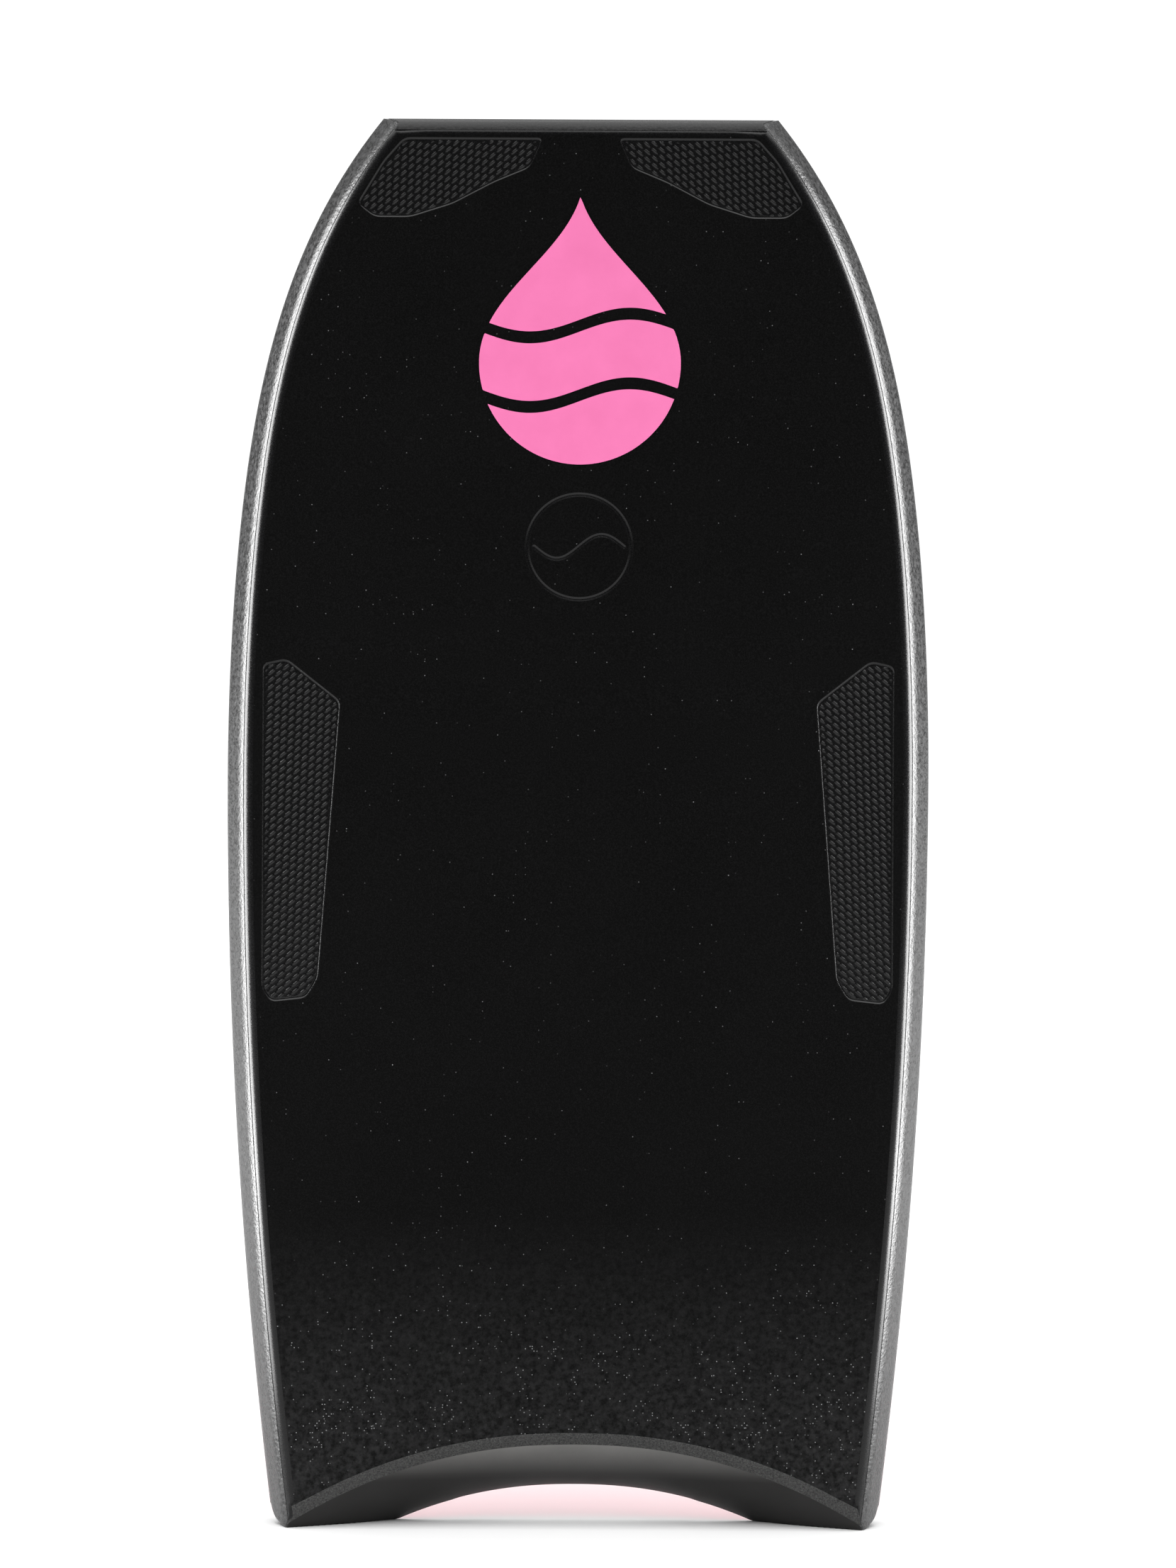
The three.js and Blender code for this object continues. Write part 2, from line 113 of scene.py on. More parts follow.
CHANNEL_X = 118 * MM
CHANNEL_FLOOR_HALF = 22 * MM
CHANNEL_WALL = 9 * MM
CHANNEL_DEPTH = 2.6 * MM
CHANNEL_END_Z = 400 * MM
CHANNEL_FULL_Z = 230 * MM


# -------------------- shape of the board

def half_width(z):
    towards_tail = np.clip((WIDE_Z - z) / WIDE_Z, 0, None)
    t = np.clip((z - WIDE_Z) / (LENGTH - WIDE_Z), 0, None)
    fall = NOSE_ROUND_SHARE * t**2 + (1 - NOSE_ROUND_SHARE) * t**5
    return WIDE_HALF - TAIL_NARROWING * towards_tail**2 - NOSE_NARROWING * fall


def side_stretch(z):
    """How far a metre measured square to the outline reaches sideways."""
    step = 0.5 * MM
    slope = (half_width(z + step) - half_width(z - step)) / (2 * step)
    return np.sqrt(1 + slope**2)


def curved_y(level, z):
    """Where a level of the flat board lies once the board has its rocker and taper."""
    nose = np.clip((z - ROCKER_START_Z) / (LENGTH - ROCKER_START_Z), 0, None)
    tail = np.clip((TAIL_ROCKER_END_Z - z) / TAIL_ROCKER_END_Z, 0, None)
    rocker = NOSE_ROCKER * nose**2 + TAIL_ROCKER * tail**2
    nose_thin = np.clip((z - NOSE_TAPER_START_Z) / (LENGTH - NOSE_TAPER_START_Z), 0, None)
    tail_thin = np.clip((TAIL_TAPER_END_Z - z) / TAIL_TAPER_END_Z, 0, None)
    fullness = 1 - NOSE_TAPER * nose_thin**2 - TAIL_TAPER * tail_thin**2
    return SLICK - (SLICK - level) * fullness - rocker + DEPTH_SHIFT


def fillet(before, corner, after, reach_in, reach_out, steps):
    """Points of a round corner: from reach_in ahead of the corner to reach_out past it."""
    before, corner, after = (np.array(p, float) for p in (before, corner, after))
    start = corner + (before - corner) / np.linalg.norm(before - corner) * reach_in
    end = corner + (after - corner) / np.linalg.norm(after - corner) * reach_out
    points = []
    for i in range(steps + 1):
        t = i / steps
        points.append((1 - t) ** 2 * start + 2 * t * (1 - t) * corner + t**2 * end)
    return points


def edge_profile(corners, reaches):
    """An outer profile as (inset, level) points: it starts at the first corner and rounds the others."""
    points = [np.array(corners[0], float)]
    path = list(corners) + [(1, corners[-1][1])]
    for i, (reach_in, reach_out) in enumerate(reaches, 1):
        points += fillet(path[i - 1], path[i], path[i + 1], reach_in * MM, reach_out * MM, 7)
    return np.array(points)


def lean_inset(level, leans):
    """The inset of the leaning faces before their corners are rounded."""
    deck_part = leans[0] * (CHINE - level) / (CHINE - DECK)
    slick_part = leans[1] * (level - CHINE) / (SLICK - CHINE)
    return np.where(level < CHINE, deck_part, slick_part)


def rail_lean(level):
    return lean_inset(level, RAIL_LEANS)


def nose_lean(level):
    return lean_inset(level, NOSE_LEANS)


def outer_profile(leans, skin_drop, slope, run, rounding):
    """A strip's outer face, from the deck skin over its shoulder and the widest line to the slick."""
    level = DECK + skin_drop
    inset = lean_inset(level, leans) + STRIP
    corners = [(inset, level), (inset - run, level + slope * run), (0, CHINE), (leans[1], SLICK)]
    return edge_profile(corners, rounding)


# Shoulders: how far they have already fallen where they meet the deck skin, how steeply they fall there,
# how far they run out before their corner, and the rounding of each corner, in millimetres
RAIL_SKIN_DROP = 3.6 * MM
RAIL_PROFILE = outer_profile(RAIL_LEANS, RAIL_SKIN_DROP, 1.0, 3.5 * MM, [(4.9, 4.0), (10.0, 4.0), (1.6, 1.6)])
NOSE_SKIN_DROP = 0.9 * MM
NOSE_PROFILE = outer_profile(NOSE_LEANS, NOSE_SKIN_DROP, 0.3, 6.0 * MM, [(6.2, 6.0), (2.6, 2.6), (1.4, 1.4)])


def profile_inset(profile, level):
    return np.interp(level, profile[:, 1], profile[:, 0])


def arch(x, rise, half):
    return rise * (1 - (np.abs(x) / half) ** ARCH_POWER)


def soft_max(a, b, radius):
    """The larger of two heights, with the crease between them rounded."""
    blend = np.clip(0.5 + 0.5 * (a - b) / radius, 0, 1)
    return b + (a - b) * blend + radius * blend * (1 - blend) * 0.5


def tail_end(x, level):
    """Height of the tail's end: the crescent's swollen face, the pegs' flats and the outer corners."""
    deck_y = curved_y(DECK, 0.0)
    slick_y = curved_y(SLICK, 0.0)
    deck_side = arch(x, *DECK_ARCH)
    slick_side = arch(x, *SLICK_ARCH)
    past = np.clip(np.abs(x) - (TAIL_HALF - TAIL_CORNER), 0, TAIL_CORNER)
    corner = TAIL_CORNER - np.sqrt(TAIL_CORNER**2 - past**2)
    z = np.zeros_like(x)
    for _ in range(5):
        share = np.clip((curved_y(level, z) - deck_y) / (slick_y - deck_y), 0, 1)
        face = deck_side + (slick_side - deck_side) * share - TAIL_BULGE * 4 * share * (1 - share)
        z = soft_max(face, corner, 1.5 * MM)
    return z


# -------------------- mesh making

def make_object(name, points, faces, materials, smooth_angle=40, kinds=None):
    """A mesh object from points and faces; kinds gives each face's place in the list of materials."""
    mesh = bpy.data.meshes.new(name)
    mesh.from_pydata([tuple(p) for p in points], [], [tuple(f) for f in faces])
    obj = bpy.data.objects.new(name, mesh)
    bpy.context.scene.collection.objects.link(obj)
    for material in materials if isinstance(materials, list) else [materials]:
        mesh.materials.append(material)
    if kinds is not None:
        mesh.polygons.foreach_set("material_index", kinds)
    mesh.shade_smooth()
    mesh.set_sharp_from_angle(angle=math.radians(smooth_angle))
    return obj


def grid_faces(rows, columns, start=0, flip=False):
    """Quads over a grid of points laid out row by row."""
    faces = []
    for i in range(rows - 1):
        for j in range(columns - 1):
            a = start + i * columns + j
            quad = (a, a + 1, a + columns + 1, a + columns)
            faces.append(quad[::-1] if flip else quad)
    return faces


def ring_faces(rings, count):
    """Quads between closed rings of points that follow each other."""
    faces = []
    for i in range(rings - 1):
        for j in range(count):
            a = i * count + j
            b = i * count + (j + 1) % count
            faces.append((a, b, b + count, a + count))
    return faces


def slab(name, front, back, material, smooth_angle=40):
    """A closed solid between two grids of the same size, front with its outward side towards -Y."""
    rows, columns = front.shape[:2]
    count = rows * columns
    points = np.concatenate([front.reshape(-1, 3), back.reshape(-1, 3)])
    faces = grid_faces(rows, columns) + grid_faces(rows, columns, count, flip=True)
    rim = [(0, j) for j in range(columns)]
    rim += [(i, columns - 1) for i in range(1, rows)]
    rim += [(rows - 1, j) for j in range(columns - 2, -1, -1)]
    rim += [(i, 0) for i in range(rows - 2, 0, -1)]
    for k, (i, j) in enumerate(rim):
        m, n = rim[(k + 1) % len(rim)]
        a = i * columns + j
        b = m * columns + n
        faces.append((b, a, a + count, b + count))
    return make_object(name, points, faces, material, smooth_angle)


def sweep(name, rings, material):
    """A closed solid along a list of rings of points, with flat ends."""
    count = len(rings[0])
    points = np.concatenate(rings)
    faces = ring_faces(len(rings), count)
    last = (len(rings) - 1) * count
    faces.append(tuple(reversed(range(count))))
    faces.append(tuple(range(last, last + count)))
    return make_object(name, points, faces, material)


def soften(obj, width):
    """Rounds the sharp edges that are left."""
    bevel = obj.modifiers.new("edges", "BEVEL")
    bevel.width = width
    bevel.segments = 2
    bevel.limit_method = "ANGLE"
    bevel.angle_limit = math.radians(50)
    bevel.harden_normals = False
    return obj


def stand_for(obj, slot, *nodes):
    """The piece moves with the board and stands for its frame nodes, which it hides; the slot is not used."""
    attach(obj, "root")
    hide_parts(*nodes)


# -------------------- materials

NET_PITCH = 3.2 * MM


class Shader:
    """A small helper for building a node material."""

    def __init__(self, name):
        self.material = bpy.data.materials.new(name)
        self.material.use_nodes = True
        self.tree = self.material.node_tree
        self.surface = self.tree.nodes["Principled BSDF"]
        self.position = self.node("ShaderNodeTexCoord").outputs["Object"]

    def node(self, kind, **settings):
        made = self.tree.nodes.new(kind)
        for key, value in settings.items():
            setattr(made, key, value)
        return made

    def link(self, source, target):
        self.tree.links.new(source, target)

    def axes(self):
        """The position's X, Y and Z."""
        made = self.node("ShaderNodeSeparateXYZ")
        self.link(self.position, made.inputs[0])
        return made.outputs

    def stretched(self, scale):
        mapping = self.node("ShaderNodeMapping")
        mapping.inputs["Scale"].default_value = scale
        self.link(self.position, mapping.inputs["Vector"])
        return mapping.outputs["Vector"]

    def noise(self, scale, detail=3, roughness=0.5, vector=None):
        made = self.node("ShaderNodeTexNoise")
        made.inputs["Scale"].default_value = scale
        made.inputs["Detail"].default_value = detail
        made.inputs["Roughness"].default_value = roughness
        self.link(vector or self.position, made.inputs["Vector"])
        return made.outputs["Fac"]

    def cells(self, scale, feature, randomness=1.0):
        made = self.node("ShaderNodeTexVoronoi", feature=feature)
        made.inputs["Scale"].default_value = scale
        made.inputs["Randomness"].default_value = randomness
        self.link(self.position, made.inputs["Vector"])
        return made.outputs["Distance"]

    def ramp(self, source, *stops, ease="LINEAR"):
        made = self.node("ShaderNodeValToRGB")
        made.color_ramp.interpolation = ease
        elements = made.color_ramp.elements
        while len(elements) < len(stops):
            elements.new(0.5)
        for element, (place, colour) in zip(elements, stops):
            element.position = place
            element.color = (*colour, 1) if isinstance(colour, tuple) else (colour,) * 3 + (1,)
        self.link(source, made.inputs["Fac"])
        return made.outputs["Color"]

    def mix(self, factor, a, b, blend="MIX"):
        made = self.node("ShaderNodeMix", data_type="RGBA", blend_type=blend)
        for socket, value in ((made.inputs[0], factor), (made.inputs[6], a), (made.inputs[7], b)):
            if isinstance(value, (float, int)):
                socket.default_value = value
            elif isinstance(value, tuple):
                socket.default_value = (*value, 1)
            else:
                self.link(value, socket)
        return made.outputs[2]

    def math(self, operation, a, b=0.0, clamp=False):
        made = self.node("ShaderNodeMath", operation=operation, use_clamp=clamp)
        for socket, value in zip(made.inputs, (a, b)):
            if isinstance(value, (float, int)):
                socket.default_value = value
            else:
                self.link(value, socket)
        return made.outputs[0]

    def bump(self, height, strength, distance, normal=None):
        made = self.node("ShaderNodeBump")
        made.inputs["Strength"].default_value = strength
        made.inputs["Distance"].default_value = distance
        self.link(height, made.inputs["Height"])
        if normal is not None:
            self.link(normal, made.inputs["Normal"])
        return made.outputs["Normal"]

    def finish(self, colour=None, roughness=None, normal=None, **constants):
        for name, value in (("Base Color", colour), ("Roughness", roughness), ("Normal", normal)):
            if value is not None:
                self.link(value, self.surface.inputs[name])
        for name, value in constants.items():
            self.surface.inputs[name.replace("_", " ")].default_value = value
        return self.material


def deck_specks(s, x, z):
    """Mask of the bright specks scattered over the deck, many of them near the tail."""
    plane = s.node("ShaderNodeCombineXYZ")
    s.link(x, plane.inputs["X"])
    s.link(z, plane.inputs["Y"])
    cells = s.node("ShaderNodeTexVoronoi", voronoi_dimensions="2D")
    cells.inputs["Scale"].default_value = 560
    s.link(plane.outputs[0], cells.inputs["Vector"])
    low_down = s.ramp(z, (0.06, 1.0), (0.26, 0.0), ease="EASE")
    patchy = s.math("MULTIPLY", low_down, s.ramp(s.noise(45, 3, 0.6), (0.38, 0.0), (0.75, 0.27)))
    chosen = s.ramp(s.math("ADD", cells.outputs["Color"], patchy), (0.92, 0.0), (1.0, 1.0))
    core = s.ramp(cells.outputs["Distance"], (0.10, 1.0), (0.30, 0.0))
    return s.math("MULTIPLY", chosen, core, clamp=True)


def deck_foam():
    """Black closed-cell skin: fine grain, faint mottling, a lighter bloom near the tail that is partly wear
    and dust and partly a painted reflection of the bright floor, and bright specks.
    """
    s = Shader("deck_foam")
    x, _, z = s.axes()
    grain = s.noise(900, 2, 0.6)
    black = s.ramp(s.noise(9, 4, 0.6), (0.35, 0.0005), (0.7, 0.0010))
    # Lighter grain near the tail: partly wear and dust, partly a painted reflection of the floor in front
    bloom = s.ramp(s.noise(240, 4, 0.7), (0.36, 0.1), (0.68, 1.0))
    wear_and_painted_sheen = s.math("MULTIPLY", s.ramp(z, (0.03, 0.9), (0.24, 0.0)), bloom)
    skin = s.mix(wear_and_painted_sheen, black, (0.022, 0.022, 0.0222))
    skin = s.mix(s.ramp(grain, (0.45, 0.0), (0.75, 1.0)), skin, (0.0025, 0.0025, 0.0026), "ADD")
    colour = s.mix(deck_specks(s, x, z), skin, (0.22, 0.222, 0.225))
    rough = s.ramp(grain, (0.3, 0.45), (0.7, 0.6))
    return s.finish(colour, rough, s.bump(grain, 0.35, 0.0002), Specular_IOR_Level=0.06)


def pressed_foam():
    """Deck skin where a hot tool has sealed it: smoother, so its ridges catch the light."""
    s = Shader("pressed_foam")
    grain = s.noise(1100, 2, 0.6)
    colour = s.ramp(grain, (0.35, (0.0006, 0.0006, 0.0007)), (0.7, (0.002, 0.002, 0.0022)))
    rough = s.ramp(grain, (0.3, 0.18), (0.7, 0.30))
    return s.finish(colour, rough, s.bump(grain, 0.3, 0.0002), Specular_IOR_Level=0.3)


def cut_foam():
    """The deck skin's cut edge: opened cells, lighter than the skin."""
    s = Shader("cut_foam")
    grain = s.noise(800, 3, 0.7)
    colour = s.ramp(grain, (0.35, 0.02), (0.7, (0.08, 0.08, 0.0785)))
    rough = s.ramp(grain, (0.3, 0.8), (0.7, 0.95))
    return s.finish(colour, rough, s.bump(grain, 0.5, 0.0004), Specular_IOR_Level=0.25)


def rail_foam(name, roughness, specular):
    """Charcoal foam with a heat-sealed pebbled skin."""
    s = Shader(name)
    pebble = s.cells(480, feature="SMOOTH_F1")
    fine = s.noise(1300, 3, 0.65)
    mottle = s.noise(310, 3, 0.7)
    base = s.ramp(mottle, (0.38, 0.001), (0.62, (0.013, 0.013, 0.0132)))
    colour = s.mix(s.ramp(fine, (0.5, 0.0), (0.72, 1.0)), base, (0.022, 0.022, 0.0224))
    rough = s.ramp(mottle, (0.36, roughness[0]), (0.64, roughness[1]))
    normal = s.bump(fine, 0.3, 0.0003, s.bump(pebble, 0.4, 0.0005))
    return s.finish(colour, rough, normal, Specular_IOR_Level=specular)


def tail_foam():
    """Grey moulded strip in the crescent, warmer than the rails, with painted shade that darkens it low down
    towards the slick and the floor.
    """
    s = Shader("tail_foam")
    fine = s.noise(700, 3, 0.6)
    mottle = s.noise(22, 5, 0.6)
    tone = s.ramp(mottle, (0.3, (0.16, 0.157, 0.152)), (0.7, (0.205, 0.2, 0.194)))
    # Painted shade: near black below 37 mm above the floor, easing to the full tone by 70 mm
    height = s.ramp(s.axes()[2], (0.037, 0.0), (0.07, 1.0))
    colour = s.mix(height, (0.008, 0.0076, 0.0072), tone)
    rough = s.ramp(mottle, (0.3, 0.5), (0.7, 0.62))
    return s.finish(colour, rough, s.bump(fine, 0.2, 0.0002), Specular_IOR_Level=0.3)


def slick_plastic():
    """Coral pink sheet: glossy, with the net's print just showing through."""
    s = Shader("slick_plastic")
    tint = s.noise(5, 3, 0.5)
    colour = s.ramp(tint, (0.35, (0.87, 0.115, 0.21)), (0.65, (0.90, 0.14, 0.24)))
    x, _, z = s.axes()
    turn = 2 * math.pi / NET_PITCH
    rising = s.math("SINE", s.math("MULTIPLY", s.math("ADD", x, z), turn))
    falling = s.math("SINE", s.math("MULTIPLY", s.math("SUBTRACT", x, z), turn))
    net = s.math("MULTIPLY", rising, falling)
    peel = s.noise(60, 2, 0.4)
    scuff = s.noise(1, 4, 0.6, s.stretched((260, 260, 14)))
    rough = s.ramp(scuff, (0.4, 0.2), (0.7, 0.3))
    normal = s.bump(net, 0.10, 0.0001, s.bump(peel, 0.12, 0.0008))
    return s.finish(colour, rough, normal, Specular_IOR_Level=0.5, Coat_Weight=0.3, Coat_Roughness=0.12)


def pink_film():
    """Heat-laminated film, satin, with the foam's grain pressed into it."""
    s = Shader("pink_film")
    tint = s.noise(40, 3, 0.5)
    grain = s.noise(700, 2, 0.5)
    colour = s.ramp(tint, (0.3, (0.655, 0.141, 0.331)), (0.7, (0.69, 0.155, 0.358)))
    rough = s.ramp(grain, (0.3, 0.45), (0.7, 0.6))
    return s.finish(colour, rough, s.bump(grain, 0.2, 0.0001), Specular_IOR_Level=0.3)


def plain_foam(name, dark, light, cell_size):
    """Expanded foam: packed cells with darker borders."""
    s = Shader(name)
    beads = s.cells(1 / cell_size, feature="DISTANCE_TO_EDGE")
    colour = s.ramp(beads, (0.02, dark), (0.16, light))
    return s.finish(colour, s.ramp(beads, (0.0, 0.95), (0.2, 0.8)), s.bump(beads, 0.4, 0.0004))


def carbon_tube():
    """Wound carbon: bands at a shallow angle under a clear resin."""
    s = Shader("carbon_tube")
    bands = s.noise(1, 3, 0.6, s.stretched((900, 900, 120)))
    colour = s.ramp(bands, (0.4, (0.012, 0.012, 0.014)), (0.62, (0.05, 0.05, 0.055)))
    return s.finish(colour, s.ramp(bands, (0.3, 0.22), (0.7, 0.4)), Coat_Weight=0.6)


def plug_plastic():
    s = Shader("plug_plastic")
    grain = s.noise(500, 2, 0.5)
    colour = s.ramp(grain, (0.3, 0.02), (0.7, 0.035))
    return s.finish(colour, s.ramp(grain, (0.3, 0.5), (0.7, 0.65)), s.bump(grain, 0.2, 0.0002))


def net_plastic():
    s = Shader("net_plastic")
    net = s.cells(300, feature="DISTANCE_TO_EDGE", randomness=0.2)
    colour = s.ramp(net, (0.05, (0.75, 0.75, 0.74)), (0.2, (0.45, 0.45, 0.44)))
    return s.finish(colour, s.ramp(net, (0.0, 0.5), (0.3, 0.75)), s.bump(net, 0.3, 0.0003))


# -------------------- deck skin

DECK_EDGE = STRIP + GAP  # the skin stands in from the rails' and nose's outer faces by this
ALONG_RAIL, ALONG_NOSE, ALONG_TAIL = range(3)  # the stretches of a skin's outline
# Rounding of the skin's edge along each stretch: how far it goes down the wall and across the face,
# and where across the face the two tangents meet
EDGE_DOWN = np.array([RAIL_SKIN_DROP, NOSE_SKIN_DROP, 3.5 * MM])
EDGE_ACROSS = np.array([5.5, 3.0, 4.0]) * MM
EDGE_BEND = np.array([2.0, 1.2, 0.0]) * MM
EDGE_RINGS = 9
CUT_RINGS = 7  # of the edge's rings that show the skin's cut foam along the tail
ELBOW_GRIP = [(239, 655), (221, 659), (180, 627), (196, 417), (205, 402), (232, 399), (239, 409)]
NOSE_GRIP = [(132.5, 1049), (28, 1049), (38, 1027), (65, 1016), (96, 1000), (128, 990), (155, 990),
             (168, 1000), (148, 1032)]
GRIP_CORNER = 5 * MM
# Inset and depth of the loops round a panel, in millimetres: the first keeps the face flat outside it
GRIP_STEPS = [(-0.7, 0.0), (0.0, 0.0), (0.6, 0.6), (1.4, 1.0), (2.1, 0.85)]
GRIP_FLOOR = 0.85 * MM
KNURL_PITCH = 4.1 * MM
KNURL_DASH = 7.4 * MM
KNURL_ANGLE = math.radians(40)
KNURL_RISE = 0.95  # how much of the panel's depth a dash rises through
POINTS_ALONG_DASH = 7
POINTS_ACROSS_ROW = 10
MARK_Z = 744 * MM
MARK_RADIUS = 41 * MM
MARK_GROOVE = 3.2 * MM
# The same for the loops over the mark's groove: the first and last keep the face flat beside it
MARK_STEPS = [(-0.7, 0.0), (0.0, 0.0), (1.1, 0.7), (2.1, 0.7), (3.2, 0.0), (3.9, 0.0)]
MARK_WAVE = 9 * MM
FACE_STEP = 11 * MM  # spacing of the plain points over the face, and how far they keep off its outlines
FACE_MARGIN = 3 * MM
BACK_STEP = 24 * MM
BACK_MARGIN = 8 * MM


def tail_corner(inset, level):
    """The corner where a layer's rail side meets the tail's end: (x, z)."""
    z = 0.0
    for _ in range(12):
        x = float(half_width(z) - (rail_lean(level) + inset) * side_stretch(z))
        z = float(tail_end(np.array([x]), level)[0])
    return x, z


def skin_outline(inset, level, counts=(110, 60, 130)):
    """Closed outline of a skin at a level, as (x, z) points from the right tail corner round the nose."""
    side_count, nose_count, tail_count = counts
    corner_x, low = tail_corner(inset, level)
    top = LENGTH - float(nose_lean(level)) - inset
    z = low + (top - low) * np.linspace(0, 1, side_count)
    right = np.stack([half_width(z) - (rail_lean(level) + inset) * side_stretch(z), z], 1)
    left = right[::-1] * (-1, 1)
    nose_x = np.linspace(right[-1, 0], -right[-1, 0], nose_count)[1:-1]
    nose = np.stack([nose_x, np.full_like(nose_x, top)], 1)
    tail_x = np.linspace(-corner_x, corner_x, tail_count)[1:-1]
    tail = np.stack([tail_x, tail_end(tail_x, level)], 1)
    parts = ((right, ALONG_RAIL), (nose, ALONG_NOSE), (left, ALONG_RAIL), (tail, ALONG_TAIL))
    sides = np.concatenate([np.full(len(part), side) for part, side in parts])
    return np.concatenate([part for part, _ in parts]), sides


def inward_normals(loop):
    """Unit vectors pointing into an anticlockwise closed outline."""
    ahead = np.roll(loop, -1, 0) - loop
    behind = loop - np.roll(loop, 1, 0)
    ahead /= np.linalg.norm(ahead, axis=1)[:, None]
    behind /= np.linalg.norm(behind, axis=1)[:, None]
    tangent = ahead + behind
    tangent /= np.linalg.norm(tangent, axis=1)[:, None]
    return np.stack([-tangent[:, 1], tangent[:, 0]], 1)


def rounded_polygon(corners, radius, step):
    """A polygon with round corners, resampled every step; corners in metres, anticlockwise."""
    corners = np.array(corners)
    points = []
    for i, corner in enumerate(corners):
        before = corners[i - 1]
        after = corners[(i + 1) % len(corners)]
        reach = min(radius, 0.4 * np.linalg.norm(before - corner), 0.4 * np.linalg.norm(after - corner))
        points += fillet(before, corner, after, reach, reach, 6)
    return resample(np.array(points), step)


def resample(loop, step):
    closed = np.concatenate([loop, loop[:1]])
    run = np.concatenate([[0], np.cumsum(np.linalg.norm(np.diff(closed, axis=0), axis=1))])
    count = max(8, int(round(run[-1] / step)))
    places = np.linspace(0, run[-1], count, endpoint=False)
    return np.stack([np.interp(places, run, closed[:, k]) for k in (0, 1)], 1)


def anticlockwise(loop):
    x, z = loop[:, 0], loop[:, 1]
    area = np.sum(x * np.roll(z, -1) - np.roll(x, -1) * z)
    return loop if area > 0 else loop[::-1]


def inside(points, loop):
    """Which points lie inside a closed outline."""
    x, z = points[:, 0], points[:, 1]
    result = np.zeros(len(points), bool)
    for (x0, z0), (x1, z1) in zip(loop, np.roll(loop, -1, 0)):
        if z0 == z1:
            continue
        crossing = (z0 > z) != (z1 > z)
        result ^= crossing & (x < (x1 - x0) * (z - z0) / (z1 - z0) + x0)
    return result


def distance_to(points, loop):
    """Distance from each point to the nearest point of a finely sampled outline."""
    nearest = np.full(len(points), np.inf)
    for start in range(0, len(loop), 64):
        part = loop[start:start + 64]
        gaps = np.linalg.norm(points[:, None, :] - part[None, :, :], axis=2)
        nearest = np.minimum(nearest, gaps.min(1))
    return nearest


def knurl_points(border, side):
    """Grain points inside a grip panel, with their depths: slanting rows of short raised dashes."""
    along = np.array([-math.cos(KNURL_ANGLE) * side, math.sin(KNURL_ANGLE)])
    across = np.array([math.sin(KNURL_ANGLE) * side, math.cos(KNURL_ANGLE)])
    centre = border.mean(0)
    reach = np.abs(border - centre).max() * 1.5
    a = np.arange(-reach, reach, KNURL_DASH / POINTS_ALONG_DASH)
    c = np.arange(-reach, reach, KNURL_PITCH / POINTS_ACROSS_ROW)
    grid_a, grid_c = (g.ravel() for g in np.meshgrid(a, c))
    points = centre + grid_a[:, None] * along + grid_c[:, None] * across
    near = inside(points, border)
    points, grid_a, grid_c = points[near], grid_a[near], grid_c[near]
    clear = distance_to(points, border) > 0.45 * MM
    points, grid_a, grid_c = points[clear], grid_a[clear], grid_c[clear]
    row = np.floor(grid_c / KNURL_PITCH + 0.5)
    ridge = np.cos(math.pi * (grid_c / KNURL_PITCH - row)) ** 8
    dash = 0.5 + 0.5 * np.cos(2 * math.pi * (grid_a / KNURL_DASH + 0.5 * (row % 2)))
    height = ridge * np.clip(1.5 * dash, 0, 1)
    return points, GRIP_FLOOR * (1 - KNURL_RISE * height)


class DeckPlan:
    """Points and edges of the deck's face, seen flat, each point with its depth below the deck."""

    def __init__(self):
        self.points = []
        self.depths = []
        self.edges = []
        self.count = 0

    def add(self, points, depths):
        start = self.count
        self.points.append(np.asarray(points, float))
        self.depths.append(np.broadcast_to(depths, len(points)).astype(float))
        self.count += len(points)
        return start

    def add_loop(self, loop, depth):
        start = self.add(loop, depth)
        count = len(loop)
        self.edges += [(start + i, start + (i + 1) % count) for i in range(count)]

    def triangulate(self, outline):
        """Triangles inside the outline: (flat points, depths, triangles, input index of each point)."""
        flat = np.concatenate(self.points)
        depths = np.concatenate(self.depths)
        out = delaunay_2d_cdt([Vector(p) for p in flat], self.edges, [], 0, 1e-7, True)
        places = np.array([tuple(p) for p in out[0]])
        source = np.array([ids[0] if ids else -1 for ids in out[3]])
        depth = np.where(source >= 0, depths[source], 0)
        triangles = np.array(out[2])
        middles = places[triangles].mean(1)
        return places, depth, triangles[inside(middles, outline)], source


def wave_groove_loop(half_gap):
    """Outline of the pressed wave at a distance from its centre line."""
    end = MARK_RADIUS - 7 * MM
    x = np.linspace(-end, end, 90)
    z = MARK_Z + MARK_WAVE * np.sin(math.pi * x / end)
    line = np.stack([x, z], 1)
    tangent = np.gradient(line, axis=0)
    tangent /= np.linalg.norm(tangent, axis=1)[:, None]
    normal = np.stack([-tangent[:, 1], tangent[:, 0]], 1)
    turn = np.linspace(0, math.pi, 9)[1:-1]
    caps = []
    for tip, half_turn in ((-1, 0), (0, math.pi)):
        angles = math.atan2(normal[tip, 1], normal[tip, 0]) + half_turn - turn
        caps.append(line[tip] + half_gap * np.stack([np.cos(angles), np.sin(angles)], 1))
    upper = line + normal * half_gap
    lower = (line - normal * half_gap)[::-1]
    return anticlockwise(np.concatenate([upper, caps[0], lower, caps[1]]))


def ring_loop(radius):
    angles = np.linspace(0, 2 * math.pi, 150, endpoint=False)
    return np.stack([radius * np.cos(angles), MARK_Z + radius * np.sin(angles)], 1)


SKIN_FACE, SKIN_CUT, SKIN_PRESSED = range(3)  # the deck skin's places in its list of materials


def eased(values):
    """Values along a closed outline with their steps smoothed out, as a column."""
    wrapped = np.concatenate([values[-4:], values, values[:4]])
    return np.convolve(wrapped, np.ones(9) / 9, "valid")[:, None]


